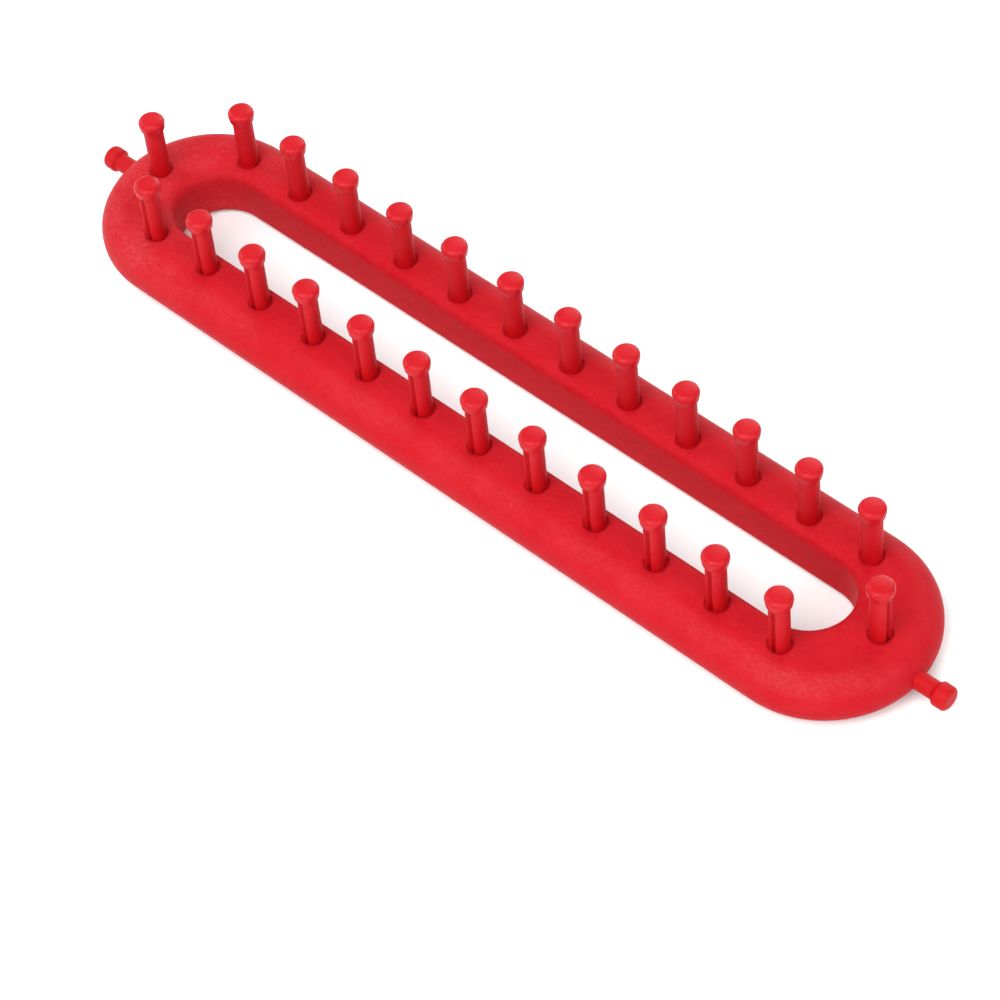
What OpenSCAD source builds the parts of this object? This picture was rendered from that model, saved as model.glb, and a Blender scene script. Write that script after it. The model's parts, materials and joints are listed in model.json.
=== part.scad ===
// Long peg loom for knitting: a two-piece racetrack frame that holds pressed-in pegs
// and one anchor peg at each end. Millimetres, X along the frame, Z up,
// origin at the middle of the flat underside.

/* [Frame] */
// Length of the frame without the anchor pegs
frame_len = 264; // [240:1:300]
// Width of the frame
frame_w = 56.4; // [50:0.2:64]
// Thickness of the frame
frame_h = 14.5; // [12:0.5:18]
// Length of the central opening
opening_len = 221; // [200:0.5:250]
// Width of the central opening
opening_w = 22.6; // [20:0.1:30]
// Radius of the outer shoulder on the upper shell
upper_r = 7.8; // [5:0.1:8]
// Radius of the outer edge on the lower shell
lower_r = 6.5; // [3:0.1:6.5]
// Radius of the opening's top edge
inner_top_r = 2.6; // [0.4:0.1:3]
// Radius of the opening's bottom edge
inner_bottom_r = 2.3; // [0.2:0.1:2.6]
// Wall thickness of both shells
wall_t = 1.6; // [1.2:0.1:2]
// Height at which the two shells meet
seam_z = 6.5; // [6:0.1:7]
// Height of the fine groove that shows at the seam
seam_gap = 0.05; // [0.05:0.05:0.4]
// Depth of that groove
seam_depth = 0.05; // [0.05:0.05:0.4]

/* [Pegs] */
// Distance from one peg to the next in a row
pitch = 19; // [15:0.5:22]
// Pegs in each long row
row_pegs = 12; // [8:1:14]
// Distance from the centre line to each row
row_y = 16.9; // [15:0.1:18]
// Distance from the middle to each end peg
end_peg_x = 120.5; // [115:0.5:125]
// Height of the pegs above the frame
peg_h = 18.6; // [15:0.1:25]
// Radius of the peg's head
head_r = 3.45; // [3:0.05:4]
// Radius of the head's rounded rim
head_edge_r = 1.3; // [0.5:0.1:1.6]
// Radius of the head's slightly domed top
dome_r = 16; // [10:1:40]
// Height of the head
head_h = 3.35; // [2.5:0.05:5]
// Radius of the head's lower edge
head_foot_r = 3.2; // [2.8:0.05:3.6]
// Height of the short cone under the head
under_h = 0.55; // [0.2:0.05:2]
// Radius of the shaft under the head
shaft_top_r = 2.6; // [2:0.05:3]
// Radius of the shaft at its foot
shaft_foot_r = 2.65; // [2:0.05:3]
// Radius of the tail that sits in the shells
tail_r = 2.45; // [2:0.05:2.6]
// Radius of the pick-up groove in the outward side
groove_r = 0.85; // [0.5:0.05:1.2]
// Distance from the peg's axis to the groove's axis
groove_x = 2.65; // [2:0.05:3]

/* [Peg seats] */
// Radius of the mouth around each peg, at the seat
mouth_r = 2.7; // [2.7:0.05:2.9]
// Radius of the mouth at the top of the frame
mouth_top_r = 3.3; // [3.1:0.05:3.6]
// Depth of the seat under the top of the frame
mouth_depth = 0.5; // [0.4:0.05:0.9]
// Radius of the mouth's eased upper edge
mouth_edge_r = 0.3; // [0.1:0.05:0.4]
// Outer radius of the sleeves and sockets
sleeve_r = 3.95; // [3.6:0.05:4.2]
// Clearance around the tails
tail_gap = 0.05; // [0.02:0.01:0.1]
// Height at which the sockets start
socket_z = 2.4; // [2:0.1:4]

/* [Anchor pegs] */
// Distance from the middle to the end of each anchor peg
anchor_x = 141.5; // [138:0.1:146]
// Radius of its shaft
anchor_r = 2.4; // [2:0.05:3]
// Radius of its knob
knob_r = 3.2; // [2.8:0.05:4]
// Length of the knob
knob_t = 3.5; // [2:0.1:5]
// Radius of the knob's rounded edge
knob_edge_r = 1.2; // [0.3:0.1:1.5]
// Radius of the flange that keeps it in the frame
flange_r = 3.4; // [3:0.1:4]

/* [Hidden] */
$fn = 96;
eps = 0.01;
half_len = frame_len / 2;
half_w = frame_w / 2;
open_len = opening_len / 2;
open_r = opening_w / 2;
arc_x = half_len - half_w;
open_arc_x = open_len - open_r;
roof_z = frame_h - wall_t;
ledge_z = frame_h - mouth_depth;
mouth_slope = atan2(mouth_depth, mouth_top_r - mouth_r);
mouth_edge_c = [mouth_top_r + mouth_edge_r * tan(mouth_slope / 2), frame_h - mouth_edge_r];
peg_top = frame_h + peg_h;
head_z = peg_top - head_h;
neck_z = head_z - under_h;
rim_x = head_r - head_edge_r;
rim_z = peg_top - dome_r + sqrt(pow(dome_r - head_edge_r, 2) - pow(rim_x, 2));
rim_slope = atan2(head_z - rim_z, head_foot_r - rim_x)
    + acos(head_edge_r / norm([head_foot_r - rim_x, head_z - rim_z]));
rim_low = [rim_x, rim_z] + head_edge_r * [cos(rim_slope), sin(rim_slope)];
dome_c = [0, peg_top - dome_r];
rim_high = dome_c + ([rim_x, rim_z] - dome_c) * dome_r / (dome_r - head_edge_r);
bore_r = tail_r + tail_gap;
lip_out = half_w - wall_t - 0.1;
lip_in = lip_out - 1;
lip_z = seam_z + 1.5;
flange_x = half_len - 3.1;
flange_t = 1.5;
plastic = [0.82, 0.1, 0.13];
gloss = [0.78, 0.05, 0.09];

function two(i) = str(i < 10 ? "0" : "", i);
function far_name(i) = str("peg_far_", two(i + 1));
function near_name(i) = str("peg_near_", two(i + 1));
function row_x(i) = (i - (row_pegs - 1) / 2) * pitch;

// ---- shared shapes -------------------------------------------------------

// A profile drawn from the axis outwards, carried round a racetrack whose
// end arcs are centred at +-cx.
module racetrack(cx) {
    translate([cx, 0, 0])
        rotate([0, 0, -90])
            rotate_extrude(angle = 180)
                children();
    translate([-cx, 0, 0])
        rotate([0, 0, 90])
            rotate_extrude(angle = 180)
                children();
    for (side = [0, 1])
        mirror([0, side, 0])
            translate([-cx, 0, 0])
                rotate([90, 0, 90])
                    linear_extrude(height = 2 * cx)
                        children();
}

// Flat slab with its outer top edge rounded.
module top_round_profile(r, edge, z0, z1) {
    translate([0, z0])
        square([r - edge, z1 - z0]);
    translate([0, z0])
        square([r, z1 - edge - z0]);
    intersection() {
        translate([r - edge, z1 - edge])
            circle(r = edge);
        translate([r - edge, z1 - edge])
            square([edge, edge]);
    }
}

// Flat slab with its outer bottom edge rounded.
module bottom_round_profile(r, edge, z0, z1) {
    translate([0, z0])
        square([r - edge, z1 - z0]);
    if (z1 - z0 > edge)
        translate([0, z0 + edge])
            square([r, z1 - z0 - edge]);
    intersection() {
        translate([r - edge, z0 + edge])
            circle(r = edge);
        translate([r - edge, z0])
            square([edge, edge]);
    }
}

// The opening, straight-sided, with its top and bottom edges eased.
module opening_profile() {
    translate([0, -1])
        square([open_r, frame_h + 2]);
    difference() {
        translate([0, frame_h - inner_top_r])
            square([open_r + inner_top_r, inner_top_r + 1]);
        translate([open_r + inner_top_r, frame_h - inner_top_r])
            circle(r = inner_top_r);
    }
    difference() {
        translate([0, -1])
            square([open_r + inner_bottom_r, inner_bottom_r + 1]);
        translate([open_r + inner_bottom_r, inner_bottom_r])
            circle(r = inner_bottom_r);
    }
}

module opening_cut() {
    racetrack(open_arc_x)
        opening_profile();
}

module opening_wall(z0, z1) {
    racetrack(open_arc_x)
        translate([0, z0])
            square([open_r + wall_t, z1 - z0]);
}

module at_pegs() {
    for (i = [0 : row_pegs - 1])
        for (side = [-1, 1])
            translate([row_x(i), side * row_y, 0])
                children();
    for (side = [-1, 1])
        translate([side * end_peg_x, 0, 0])
            children();
}

// Draws its children at the left end too, as a mirror image.
module at_ends() {
    for (side = [0, 1])
        mirror([side, 0, 0])
            children();
}

module anchor_cut() {
    at_ends() {
        translate([flange_x - flange_t - 0.3, 0, seam_z])
            rotate([0, 90, 0])
                cylinder(r = flange_r + 0.2, h = flange_t + 0.4);
        translate([flange_x - 1, 0, seam_z])
            rotate([0, 90, 0])
                cylinder(r = anchor_r + tail_gap, h = 6);
    }
}

// The funnel-shaped mouth around a peg, with its upper edge eased.
module mouth_cut() {
    rotate_extrude()
        difference() {
            polygon([
                [0, ledge_z],
                [mouth_r, ledge_z],
                mouth_edge_c + mouth_edge_r * [-sin(mouth_slope), cos(mouth_slope)],
                mouth_edge_c,
                [mouth_edge_c[0], frame_h + 1],
                [0, frame_h + 1]
            ]);
            translate(mouth_edge_c)
                circle(r = mouth_edge_r);
        }
}

// ---- sub-parts -----------------------------------------------------------

module upper_cavity() {
    difference() {
        racetrack(arc_x)
            top_round_profile(half_w - wall_t, upper_r - wall_t, seam_z - 1, roof_z);
        opening_wall(seam_z - 2, frame_h);
    }
}

module upper_shell() {
    color(plastic)
    difference() {
        union() {
            difference() {
                racetrack(arc_x)
                    top_round_profile(half_w, upper_r, seam_z, frame_h);
                upper_cavity();
            }
            at_pegs()
                translate([0, 0, seam_z + 0.1])
                    cylinder(r = sleeve_r, h = roof_z - seam_z + 0.5);
        }
        opening_cut();
        at_pegs() {
            translate([0, 0, seam_z - 1])
                cylinder(r = bore_r, h = frame_h);
            mouth_cut();
        }
        anchor_cut();
    }
}

module lower_cavity() {
    difference() {
        racetrack(arc_x)
            bottom_round_profile(half_w - wall_t, lower_r - wall_t, wall_t, seam_z + 1);
        opening_wall(0, seam_z + 2);
    }
}

module locating_lip() {
    racetrack(arc_x)
        translate([lip_in, seam_z - 3])
            square([lip_out - lip_in, lip_z - seam_z + 3]);
}

// The groove round the outside and the opening that shows as the seam.
module seam_groove() {
    difference() {
        racetrack(arc_x)
            translate([0, seam_z - seam_gap])
                square([half_w + 1, 1]);
        racetrack(arc_x)
            translate([0, seam_z - seam_gap - 1])
                square([half_w - seam_depth, 3]);
    }
    racetrack(open_arc_x)
        translate([0, seam_z - seam_gap])
            square([open_r + seam_depth, 1]);
}

module lower_shell() {
    color(plastic)
    difference() {
        union() {
            difference() {
                racetrack(arc_x)
                    bottom_round_profile(half_w, lower_r, 0, seam_z);
                lower_cavity();
            }
            locating_lip();
            at_pegs()
                translate([0, 0, wall_t - 0.6])
                    cylinder(r = sleeve_r, h = seam_z - wall_t + 0.5);
        }
        opening_cut();
        seam_groove();
        at_pegs()
            translate([0, 0, socket_z])
                cylinder(r = bore_r, h = frame_h);
        anchor_cut();
    }
}

// Half outline of a peg: tail, shaft, short cone, tapered head with a rounded
// rim, and the slightly domed top.
module peg_profile() {
    polygon([
        [0, socket_z],
        [tail_r - 0.4, socket_z],
        [tail_r, socket_z + 0.4],
        [tail_r, ledge_z],
        [shaft_foot_r, ledge_z],
        [shaft_top_r, neck_z],
        [head_foot_r, head_z],
        rim_low,
        [rim_x, rim_z],
        rim_high,
        [0, rim_high[1]]
    ]);
    translate([rim_x, rim_z])
        circle(r = head_edge_r);
    intersection() {
        translate(dome_c)
            circle(r = dome_r);
        translate([0, rim_high[1] - 0.1])
            square([rim_high[0], 1]);
    }
}

// An upright peg whose pick-up groove faces the direction out_deg.
module peg(pos, out_deg) {
    color(gloss)
    translate([pos[0], pos[1], 0])
        rotate([0, 0, out_deg])
            difference() {
                rotate_extrude()
                    peg_profile();
                translate([groove_x, 0, ledge_z - 0.3])
                    cylinder(r = groove_r, h = neck_z + 0.2 - ledge_z + 0.3);
            }
}

module anchor_profile() {
    polygon([
        [0, flange_x - flange_t],
        [flange_r, flange_x - flange_t],
        [flange_r, flange_x],
        [anchor_r, flange_x],
        [anchor_r, anchor_x - knob_t - 0.9],
        [knob_r, anchor_x - knob_t],
        [knob_r, anchor_x - knob_edge_r],
        [0, anchor_x - knob_edge_r]
    ]);
    translate([0, anchor_x - knob_t])
        square([knob_r - knob_edge_r, knob_t]);
    intersection() {
        translate([knob_r - knob_edge_r, anchor_x - knob_edge_r])
            circle(r = knob_edge_r);
        translate([knob_r - knob_edge_r, anchor_x - knob_edge_r])
            square([knob_edge_r, knob_edge_r]);
    }
}

// The anchor peg at the right end; the left one is its mirror image.
module anchor() {
    color(gloss)
    translate([0, 0, seam_z])
        rotate([0, 90, 0])
            rotate_extrude()
                anchor_profile();
}

// ---- assembly ------------------------------------------------------------

upper_shell();
lower_shell();
for (i = [0 : row_pegs - 1]) {
    peg([row_x(i), row_y], 90);
    peg([row_x(i), -row_y], -90);
}
peg([-end_peg_x, 0], 180);  // peg_end_left
peg([end_peg_x, 0], 0);  // peg_end_right
mirror([1, 0, 0]) anchor();  // anchor_left
anchor();  // anchor_right
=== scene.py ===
# Long peg loom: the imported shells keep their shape, the pegs and the anchor pegs are
# rebuilt as fine turned meshes. Lengths are millimetres up to the materials section,
# and metres from there on, where the shader coordinates and the set are.
import json
import math
import bmesh
import bpy
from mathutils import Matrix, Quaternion, Vector

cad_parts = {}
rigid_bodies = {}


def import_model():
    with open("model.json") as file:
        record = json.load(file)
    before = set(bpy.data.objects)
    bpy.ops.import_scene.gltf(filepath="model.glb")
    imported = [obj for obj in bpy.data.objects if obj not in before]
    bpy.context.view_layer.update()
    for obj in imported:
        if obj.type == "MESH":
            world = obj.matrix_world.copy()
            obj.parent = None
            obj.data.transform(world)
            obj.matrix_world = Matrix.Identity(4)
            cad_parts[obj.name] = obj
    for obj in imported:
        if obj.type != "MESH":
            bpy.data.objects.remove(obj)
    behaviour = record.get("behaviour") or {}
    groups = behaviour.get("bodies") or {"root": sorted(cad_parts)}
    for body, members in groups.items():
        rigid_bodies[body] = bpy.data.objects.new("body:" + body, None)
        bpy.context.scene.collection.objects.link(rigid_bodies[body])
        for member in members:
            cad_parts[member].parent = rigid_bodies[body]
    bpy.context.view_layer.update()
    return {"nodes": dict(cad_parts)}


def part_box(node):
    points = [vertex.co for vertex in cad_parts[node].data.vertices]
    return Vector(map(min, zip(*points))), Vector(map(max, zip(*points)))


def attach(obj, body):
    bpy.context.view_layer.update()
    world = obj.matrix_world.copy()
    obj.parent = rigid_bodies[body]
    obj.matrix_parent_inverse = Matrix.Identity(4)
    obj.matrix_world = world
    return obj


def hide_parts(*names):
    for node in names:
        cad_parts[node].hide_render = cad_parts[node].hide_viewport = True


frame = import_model()
MM = 0.001

# Heights and radii of the moulded parts, as in the CAD source.
SEAM_Z = 6.5
SOCKET_Z = 2.4
LEDGE_Z = 14.0
HEAD_R = 3.45
HEAD_EDGE = 1.3
DOME_R = 16.0
HEAD_H = 3.35
HEAD_FOOT_R = 3.2
UNDER_H = 0.55
SHAFT_TOP_R = 2.6
SHAFT_FOOT_R = 2.65
TAIL_R = 2.45
TAIL_CHAMFER = 0.4
KNOB_R = 3.2
KNOB_T = 3.5
KNOB_EDGE = 1.2
KNOB_FLARE = 0.9
ANCHOR_R = 2.4
FLANGE_R = 3.4
FLANGE_T = 1.5

# Small roundings, steps and extra rings that only these meshes have.
TAIL_ROUND = 0.3
NECK_ROUND = 0.7
LIP_ROUND = 0.25
LEDGE_STEP = 0.05
SHAFT_INSET = 0.03
FLARE_ROUND = 0.8
KNOB_ROUND = 0.7
TIP_RINGS = (1.2, 0.5)
FILLET_SHARE = 0.45
ON_AXIS = 1e-6
SHARP_EDGE = math.radians(50)

# The pick-up groove: its cross-section, and how far it fades at its two ends.
GROOVE_HALF_W = 0.8
GROOVE_DEPTH = 1.25
GROOVE_POWER = 0.6
GROOVE_EASE = 0.05
GROOVE_EASE_W = 0.16
GROOVE_FADE_LOW = 0.4
GROOVE_FADE_BELOW_NECK = 0.6
GROOVE_FADE_ABOVE_NECK = 0.2
TAIL_MARGIN = 0.1

# Steps round a peg in degrees, fine across the groove and wider round the rest.
GROOVE_SPAN_DEG = 26
GROOVE_STEP_DEG = 2
REST_STEPS = 40
PEG_ANGLES = [math.radians(a)
              for a in range(-GROOVE_SPAN_DEG, GROOVE_SPAN_DEG + 1, GROOVE_STEP_DEG)]
PEG_ANGLES += [math.radians(GROOVE_SPAN_DEG + (360 - 2 * GROOVE_SPAN_DEG) * i / REST_STEPS)
               for i in range(1, REST_STEPS)]
ROUND_STEPS = 72
ROUND_ANGLES = [2 * math.pi * i / ROUND_STEPS for i in range(ROUND_STEPS)]


def centre_of(node):
    lo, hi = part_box(node)
    return Vector([(a + b) / 2 / MM for a, b in zip(lo, hi)])


def top_of(node):
    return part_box(node)[1][2] / MM


# ---- outlines ---------------------------------------------------------------

def arc(cx, cy, r, a0, a1, n):
    """Points on a circle from a0 to a1 degrees."""
    out = []
    for i in range(n + 1):
        a = math.radians(a0 + (a1 - a0) * i / n)
        out.append((cx + r * math.cos(a), cy + r * math.sin(a)))
    return out


def fillet(before, corner, after, r, n):
    """A rounded corner between two straight stretches, which takes up to a fixed
    share of either of them."""
    c = Vector(corner)
    to_before, to_after = Vector(before) - c, Vector(after) - c
    u, v = to_before.normalized(), to_after.normalized()
    half = u.angle(v) / 2
    reach = min(r / math.tan(half), to_before.length * FILLET_SHARE,
                to_after.length * FILLET_SHARE)
    a, b = c + u * reach, c + v * reach
    out = []
    for i in range(n + 1):
        t = i / n
        p = a * (1 - t) ** 2 + c * 2 * t * (1 - t) + b * t ** 2
        out.append((p.x, p.y))
    return out


def stretch(p, q, n):
    """Points between p and q, without the two ends."""
    return [(p[0] + (q[0] - p[0]) * i / (n + 1), p[1] + (q[1] - p[1]) * i / (n + 1))
            for i in range(1, n + 1)]


def peg_outline(top):
    """Half outline of a peg from its tail to the middle of its domed top."""
    head_z = top - HEAD_H
    neck_z = head_z - UNDER_H
    rim_x = HEAD_R - HEAD_EDGE
    rim_z = top - DOME_R + math.sqrt((DOME_R - HEAD_EDGE) ** 2 - rim_x ** 2)
    dx, dz = HEAD_FOOT_R - rim_x, head_z - rim_z
    low = math.degrees(math.atan2(dz, dx) + math.acos(HEAD_EDGE / math.hypot(dx, dz)))
    lean = math.degrees(math.asin(rim_x / (DOME_R - HEAD_EDGE)))
    foot, neck, lip = (SHAFT_FOOT_R, LEDGE_Z), (SHAFT_TOP_R, neck_z), (HEAD_FOOT_R, head_z)
    rim_low = (rim_x + HEAD_EDGE * math.cos(math.radians(low)),
               rim_z + HEAD_EDGE * math.sin(math.radians(low)))
    tail_end = (TAIL_R - TAIL_CHAMFER, SOCKET_Z)
    tail_side = (TAIL_R, SOCKET_Z + TAIL_CHAMFER)
    tail_top = (TAIL_R, LEDGE_Z)
    pts = [(0, SOCKET_Z), tail_end]
    pts += fillet(tail_end, tail_side, tail_top, TAIL_ROUND, 2)
    pts += [(TAIL_R, LEDGE_Z - LEDGE_STEP), tail_top, (SHAFT_FOOT_R - SHAFT_INSET, LEDGE_Z)]
    bend = fillet(foot, neck, lip, NECK_ROUND, 4)
    lip_round = fillet(neck, lip, rim_low, LIP_ROUND, 4)
    pts += stretch(foot, bend[0], 7)
    pts += bend + lip_round
    pts += stretch(lip_round[-1], rim_low, 2)
    pts += arc(rim_x, rim_z, HEAD_EDGE, low, 90 - lean, 12)
    pts += arc(0, top - DOME_R, DOME_R, 90 - lean, 90, 6)[1:]
    return pts


def anchor_outline(tip, inner):
    """Half outline of an anchor peg along its axis, from its flange to its tip."""
    neck = tip - KNOB_T
    shaft_start = (ANCHOR_R, inner + FLANGE_T)
    shaft_end, knob_start = (ANCHOR_R, neck - KNOB_FLARE), (KNOB_R, neck)
    pts = [(0, inner), (FLANGE_R, inner), (FLANGE_R, inner + FLANGE_T), shaft_start]
    pts += stretch(shaft_start, shaft_end, 6)
    pts += fillet(shaft_start, shaft_end, knob_start, FLARE_ROUND, 5)
    pts += fillet(shaft_end, knob_start, (KNOB_R, tip - KNOB_EDGE), KNOB_ROUND, 5)
    pts += arc(KNOB_R - KNOB_EDGE, tip - KNOB_EDGE, KNOB_EDGE, 0, 90, 10)[1:]
    pts += [(r, tip) for r in TIP_RINGS] + [(0, tip)]
    return pts


# ---- meshes -----------------------------------------------------------------

def turned(name, outline, angles, place, carve=None):
    """Turns an outline round its axis; carve(r, h, angle) may lower the radius."""
    bm = bmesh.new()
    rings = []
    for r, h in outline:
        if r < ON_AXIS:
            rings.append([bm.verts.new(place(0, 0, h))])
            continue
        ring = []
        for a in angles:
            rr = carve(r, h, a) if carve else r
            ring.append(bm.verts.new(place(rr * math.cos(a), rr * math.sin(a), h)))
        rings.append(ring)
    n = len(angles)
    for low, high in zip(rings, rings[1:]):
        for i in range(n):
            j = (i + 1) % n
            if len(low) == 1:
                bm.faces.new((low[0], high[j], high[i]))
            elif len(high) == 1:
                bm.faces.new((low[i], low[j], high[0]))
            else:
                bm.faces.new((low[i], low[j], high[j], high[i]))
    bmesh.ops.recalc_face_normals(bm, faces=bm.faces)
    for f in bm.faces:
        f.smooth = True
    mesh = bpy.data.meshes.new(name)
    bm.to_mesh(mesh)
    bm.free()
    mesh.set_sharp_from_angle(angle=SHARP_EDGE)
    piece = bpy.data.objects.new(name, mesh)
    bpy.context.scene.collection.objects.link(piece)
    return piece


def smooth_step(a, b, x):
    t = min(1.0, max(0.0, (x - a) / (b - a)))
    return t * t * (3 - 2 * t)


def groove(top):
    """The pick-up groove down the outward side, soft at its edges and its upper end."""
    neck_z = top - HEAD_H - UNDER_H

    def carve(r, h, angle):
        a = (angle + math.pi) % (2 * math.pi) - math.pi
        if r < TAIL_R - TAIL_MARGIN or abs(a) > math.pi / 2:
            return r
        side = abs(r * math.sin(a))
        span = smooth_step(LEDGE_Z - GROOVE_FADE_LOW, LEDGE_Z, h)
        span *= 1 - smooth_step(neck_z - GROOVE_FADE_BELOW_NECK,
                                neck_z + GROOVE_FADE_ABOVE_NECK, h)
        deep = GROOVE_DEPTH * max(0.0, 1 - (side / GROOVE_HALF_W) ** 2) ** GROOVE_POWER
        ease = GROOVE_EASE * math.exp(-((side - GROOVE_HALF_W) / GROOVE_EASE_W) ** 2)
        return r - span * (deep + ease)

    return carve


def build_peg(node, out_deg):
    """A peg whose groove faces out_deg degrees from +X."""
    c = centre_of(node)
    top = top_of(node)
    turn = math.radians(out_deg)

    def place(x, y, h):
        return Vector((c.x + x * math.cos(turn) - y * math.sin(turn),
                       c.y + x * math.sin(turn) + y * math.cos(turn), h)) * MM

    piece = turned(node + "_turned", peg_outline(top), PEG_ANGLES, place, groove(top))
    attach(piece, "root")
    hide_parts(node)


def build_anchor(node, side):
    """An anchor peg that points along +X (side 1) or -X (side -1)."""
    lo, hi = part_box(node)
    far = max(abs(lo[0]), abs(hi[0])) / MM
    near = min(abs(lo[0]), abs(hi[0])) / MM

    def place(x, y, h):
        return Vector((side * h, y, SEAM_Z + x)) * MM

    piece = turned(node + "_turned", anchor_outline(far, near), ROUND_ANGLES, place)
    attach(piece, "root")
    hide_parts(node)


# ---- materials --------------------------------------------------------------

def nodes_of(name):
    mat = bpy.data.materials.new(name)
    mat.use_nodes = True
    tree = mat.node_tree
    shader = next(n for n in tree.nodes if n.type == "BSDF_PRINCIPLED")
    return mat, tree, shader


def add(tree, kind, **values):
    """A new shader node with some of its inputs set."""
    node = tree.nodes.new(kind)
    for key, value in values.items():
        node.inputs[key].default_value = value
    return node


def noise(tree, coord, scale, detail, rough):
    n = add(tree, "ShaderNodeTexNoise", Scale=scale, Detail=detail, Roughness=rough)
    tree.links.new(coord, n.inputs["Vector"])
    return n.outputs["Fac"]


def remap(tree, value, a, b, to_a, to_b):
    """The value eased from to_a, where it is a, to to_b, where it is b."""
    n = add(tree, "ShaderNodeMapRange")
    n.clamp = True
    n.interpolation_type = "SMOOTHSTEP"
    for key, v in (("From Min", a), ("From Max", b), ("To Min", to_a), ("To Max", to_b)):
        n.inputs[key].default_value = v
    tree.links.new(value, n.inputs["Value"])
    return n.outputs["Result"]


def calc(tree, how, a, b=0.0):
    n = add(tree, "ShaderNodeMath")
    n.operation = how
    for i, v in enumerate((a, b)):
        if isinstance(v, (int, float)):
            n.inputs[i].default_value = v
        else:
            tree.links.new(v, n.inputs[i])
    return n.outputs[0]


def mean(tree, a, share_a, b):
    """The weighted mean of two values."""
    return calc(tree, "ADD", calc(tree, "MULTIPLY", a, share_a),
                calc(tree, "MULTIPLY", b, 1 - share_a))


def blend_colour(tree, fac, a, b):
    n = add(tree, "ShaderNodeMix")
    n.data_type = "RGBA"
    for socket, v in ((n.inputs[0], fac), (n.inputs[6], a), (n.inputs[7], b)):
        if isinstance(v, tuple):
            socket.default_value = v + (1.0,)
        else:
            tree.links.new(v, socket)
    return n.outputs[2]


def bump(tree, height, strength, distance, below=None):
    n = add(tree, "ShaderNodeBump", Strength=strength, Distance=distance)
    tree.links.new(height, n.inputs["Height"])
    if below:
        tree.links.new(below, n.inputs["Normal"])
    return n.outputs["Normal"]


FRAME_RED = (0.40, 0.006, 0.0115)
FRAME_LIGHT = (0.43, 0.010, 0.0165)
# pale colour of the dust, also used for the painted highlight band on the shoulder
DUST_AND_HIGHLIGHT = (0.66, 0.17, 0.18)
PEG_RED = (0.425, 0.005, 0.010)
PEG_LIGHT = (0.45, 0.008, 0.014)
# painted shade: the deeper red the shafts get towards the frame
PEG_FOOT_SHADE = (0.42, 0.001, 0.004)
FLOOR_PALE = (0.88, 0.95, 0.95)
FLOOR_PALER = (0.90, 0.97, 0.97)

# Noise values between which the tone goes from its darker to its lighter colour.
TONE_SPREAD = (0.38, 0.62)

# Distance along X from the middle of the frame to the middle of each end's arc.
ARC_X = 0.1038

# Places between which a blend runs, each as where it starts and where it ends.
LEFT_END_X = (-0.075, -0.115)
# the right end, the outer shoulder, its outer side and near-to-far place the painted
# highlight band
RIGHT_END_X = (0.085, 0.118)
SHOULDER_OUT = (0.0205, 0.0240)
SIDE_OUT = (0.0258, 0.0278)
NEAR_TO_FAR_Y = (-0.016, 0.004)
# painted shade down the pegs' shafts, deepest at the frame top
FOOT_SHADE_Z = (0.0145, 0.0280)
DULL_TO_GLOSS_Z = (0.0280, 0.0300)

# How strongly the pale blend shows, as a thin haze and as bright points: dust, and along
# the shoulder a painted highlight band.
HAZE_SHARE = 0.085
POINT_SHARE = 0.22
FRAME_SPECULAR = 0.035
PEG_SPECULAR = 0.16


def outward(tree, x, y):
    """Distance from the racetrack's middle line, so 28.2 mm at the outer edge."""
    past = calc(tree, "SUBTRACT", calc(tree, "ABSOLUTE", x), ARC_X)
    past = calc(tree, "MAXIMUM", past, 0.0)
    squares = calc(tree, "ADD", calc(tree, "MULTIPLY", past, past),
                   calc(tree, "MULTIPLY", y, y))
    return calc(tree, "SQRT", squares)


def dust_and_highlight_share(tree, coord):
    """The pale blend at each place: dust as a thin mottled haze and sparse bright points on
    the left end, and the same haze and points as a painted highlight band along the outer
    shoulder, most of all at the right end and the near side."""
    split = add(tree, "ShaderNodeSeparateXYZ")
    tree.links.new(coord, split.inputs[0])
    x, y = split.outputs[0], split.outputs[1]
    left = remap(tree, x, *LEFT_END_X, 0.0, 1.0)
    out = outward(tree, x, y)
    # painted highlight: a band along the outer shoulder, fading towards its outer side and
    # weaker towards the far side
    shoulder_band = calc(tree, "MULTIPLY", remap(tree, out, *SHOULDER_OUT, 0.0, 1.0),
               remap(tree, out, *SIDE_OUT, 1.0, 0.2))
    shoulder_band = calc(tree, "MULTIPLY", shoulder_band, remap(tree, y, *NEAR_TO_FAR_Y, 1.0, 0.3))
    patch = remap(tree, noise(tree, coord, 60, 3, 0.6), 0.38, 0.62, 0.25, 1.0)
    speckle = remap(tree, noise(tree, coord, 1200, 3, 0.65), 0.36, 0.66, 0.0, 1.0)
    point = remap(tree, noise(tree, coord, 1500, 1, 0.5), 0.68, 0.78, 0.0, 1.0)
    # the painted shoulder highlight, strongest at the right end
    shoulder_highlight = calc(tree, "MULTIPLY", shoulder_band, remap(tree, x, *RIGHT_END_X, 0.45, 0.95))
    where = calc(tree, "MULTIPLY", calc(tree, "ADD", shoulder_highlight, left), patch)
    haze = calc(tree, "MULTIPLY", calc(tree, "ADD", speckle, 0.5), HAZE_SHARE)
    dust_and_highlight = calc(tree, "ADD", haze, calc(tree, "MULTIPLY", point, POINT_SHARE))
    return calc(tree, "MULTIPLY", where, dust_and_highlight)


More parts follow.
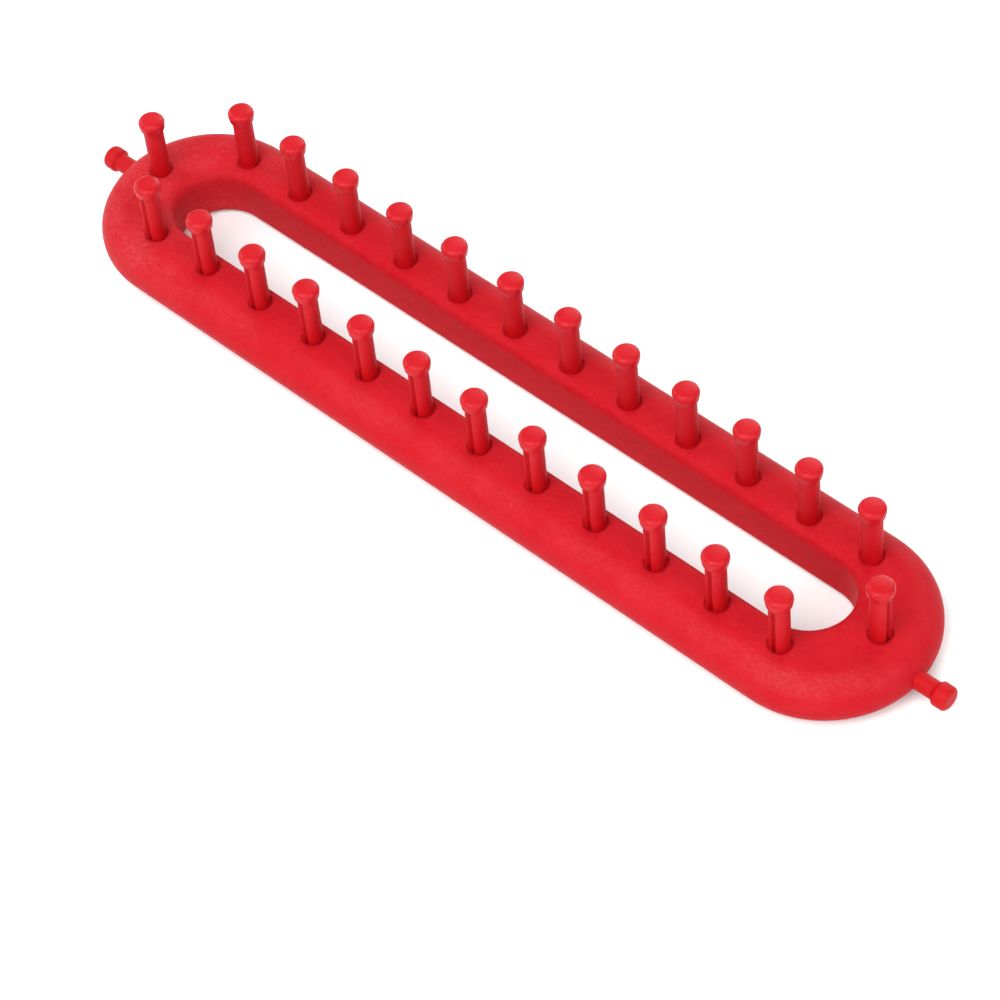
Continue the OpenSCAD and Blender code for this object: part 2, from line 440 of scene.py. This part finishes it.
def frame_material():
    """Satin moulded plastic: cloudy tone, fine grain, some pale dust and a painted
    highlight band on the outer shoulder.
    """
    mat, tree, s = nodes_of("frame_plastic_moulded")
    coord = add(tree, "ShaderNodeTexCoord").outputs["Object"]
    clouds = noise(tree, coord, 90, 4, 0.6)
    grain = noise(tree, coord, 900, 3, 0.65)
    fine = noise(tree, coord, 3200, 2, 0.6)
    tone = remap(tree, mean(tree, clouds, 0.55, grain), *TONE_SPREAD, 0.0, 1.0)
    colour = blend_colour(tree, tone, FRAME_RED, FRAME_LIGHT)
    # pale dust, and a painted highlight band along the outer shoulder
    colour = blend_colour(tree, dust_and_highlight_share(tree, coord), colour, DUST_AND_HIGHLIGHT)
    tree.links.new(colour, s.inputs["Base Color"])
    rough = remap(tree, mean(tree, clouds, 0.5, fine), 0.3, 0.7, 0.40, 0.56)
    tree.links.new(rough, s.inputs["Roughness"])
    skin = bump(tree, clouds, 0.35, 0.00035)
    skin = bump(tree, grain, 0.35, 0.00006, skin)
    skin = bump(tree, fine, 0.3, 0.000025, skin)
    tree.links.new(skin, s.inputs["Normal"])
    s.inputs["Specular IOR Level"].default_value = FRAME_SPECULAR
    return mat


def peg_material():
    """Glossier plastic of the pegs: slight streaks along the shaft, a soft gloss, and
    painted shade deepening the red down the shaft towards the frame.
    """
    mat, tree, s = nodes_of("peg_plastic_turned")
    coord = add(tree, "ShaderNodeTexCoord").outputs["Object"]
    clouds = noise(tree, coord, 160, 3, 0.55)
    grain = noise(tree, coord, 1500, 2, 0.6)
    along_shaft = add(tree, "ShaderNodeMapping", Scale=(1.0, 1.0, 0.12))
    tree.links.new(coord, along_shaft.inputs["Vector"])
    streak = noise(tree, along_shaft.outputs["Vector"], 700, 2, 0.5)
    split = add(tree, "ShaderNodeSeparateXYZ")
    tree.links.new(coord, split.inputs[0])
    height = split.outputs[2]
    tone = remap(tree, mean(tree, clouds, 0.6, grain), *TONE_SPREAD, 0.0, 1.0)
    colour = blend_colour(tree, tone, PEG_RED, PEG_LIGHT)
    # painted shade: a deeper, less whitish red down the shaft towards its foot by the frame
    foot = remap(tree, height, *FOOT_SHADE_Z, 1.0, 0.0)
    tree.links.new(blend_colour(tree, foot, colour, PEG_FOOT_SHADE), s.inputs["Base Color"])
    # the shafts are rubbed duller by the yarn than the heads are
    dull = remap(tree, height, *DULL_TO_GLOSS_Z, 0.22, 0.0)
    gloss = remap(tree, streak, 0.3, 0.7, 0.32, 0.39)
    tree.links.new(calc(tree, "ADD", gloss, dull), s.inputs["Roughness"])
    skin = bump(tree, clouds, 0.04, 0.0001)
    skin = bump(tree, streak, 0.12, 0.00002, skin)
    tree.links.new(skin, s.inputs["Normal"])
    s.inputs["Specular IOR Level"].default_value = PEG_SPECULAR
    return mat


def floor_material():
    """Matt and pale, a little short of red to even out what the loom casts on it."""
    mat, tree, s = nodes_of("pale_floor")
    coord = add(tree, "ShaderNodeTexCoord").outputs["Object"]
    tone = remap(tree, noise(tree, coord, 3, 2, 0.5), 0.3, 0.7, 0.0, 1.0)
    tree.links.new(blend_colour(tree, tone, FLOOR_PALE, FLOOR_PALER),
                   s.inputs["Base Color"])
    s.inputs["Roughness"].default_value = 0.9
    s.inputs["Specular IOR Level"].default_value = 0.0
    return mat


# ---- assembly ---------------------------------------------------------------

for node_name in list(frame["nodes"]):
    if node_name.startswith("peg_far"):
        build_peg(node_name, 90)
    elif node_name.startswith("peg_near"):
        build_peg(node_name, -90)
build_peg("peg_end_left", 180)
build_peg("peg_end_right", 0)
build_anchor("anchor_left", -1)
build_anchor("anchor_right", 1)

frame_mat = frame_material()
peg_mat = peg_material()
for obj in bpy.data.objects:
    if obj.type != "MESH":
        continue
    mat = frame_mat if obj.name.endswith("shell") else peg_mat
    if obj.material_slots:
        for slot in obj.material_slots:
            slot.material = mat
    else:
        obj.data.materials.append(mat)

# ---- floor, light and camera ------------------------------------------------

FLOOR_SIZE = 6.0
FLOOR_DROP = 0.0001
WORLD_STRENGTH = 0.40

# Name, watts, width, height and place of each soft light; all of them face the origin.
SOFTBOXES = [
    ("key", 12.0, 1.8, 0.42, (0.15, -1.3, 1.0)),
    ("high", 18.5, 1.0, 1.0, (0.1, -0.75, 1.45)),
    ("left", 9.5, 1.0, 1.0, (-1.35, -0.3, 0.8)),
    ("right", 13.0, 1.0, 1.0, (1.4, -0.25, 0.8)),
    ("back", 17.0, 1.2, 1.2, (-0.45, 1.4, 0.75)),
]

CAMERA_PLACE = (0.43134, -0.39887, 0.67964)
CAMERA_TURN = (0.880797, 0.302401, 0.153557, 0.330411)
LENS_MM = 129.24
SENSOR_MM = 36.0
CAMERA_REACH = 20.0

bpy.ops.mesh.primitive_grid_add(x_subdivisions=8, y_subdivisions=8, size=FLOOR_SIZE,
                                location=(0, 0, -FLOOR_DROP))
floor = bpy.context.object
floor.name = "floor"
floor.data.materials.append(floor_material())


def softbox(name, energy, wide, tall, where):
    data = bpy.data.lights.new(name, "AREA")
    data.energy = energy
    data.shape = "RECTANGLE"
    data.size = wide
    data.size_y = tall
    lamp = bpy.data.objects.new(name, data)
    lamp.location = where
    lamp.rotation_euler = (-Vector(where)).to_track_quat("-Z", "Y").to_euler()
    bpy.context.scene.collection.objects.link(lamp)


for box in SOFTBOXES:
    softbox(*box)

world = bpy.data.worlds.new("studio")
bpy.context.scene.world = world
world.use_nodes = True
background = world.node_tree.nodes["Background"]
background.inputs[0].default_value = (1.0, 1.0, 1.0, 1.0)
background.inputs[1].default_value = WORLD_STRENGTH

cam_data = bpy.data.cameras.new("camera")
cam = bpy.data.objects.new("camera", cam_data)
bpy.context.scene.collection.objects.link(cam)
cam_data.sensor_width = SENSOR_MM
cam_data.lens = LENS_MM
cam_data.clip_end = CAMERA_REACH
cam.location = CAMERA_PLACE
cam.rotation_mode = "QUATERNION"
cam.rotation_quaternion = Quaternion(CAMERA_TURN)
bpy.context.scene.camera = cam
bpy.context.scene.view_settings.view_transform = "Standard"
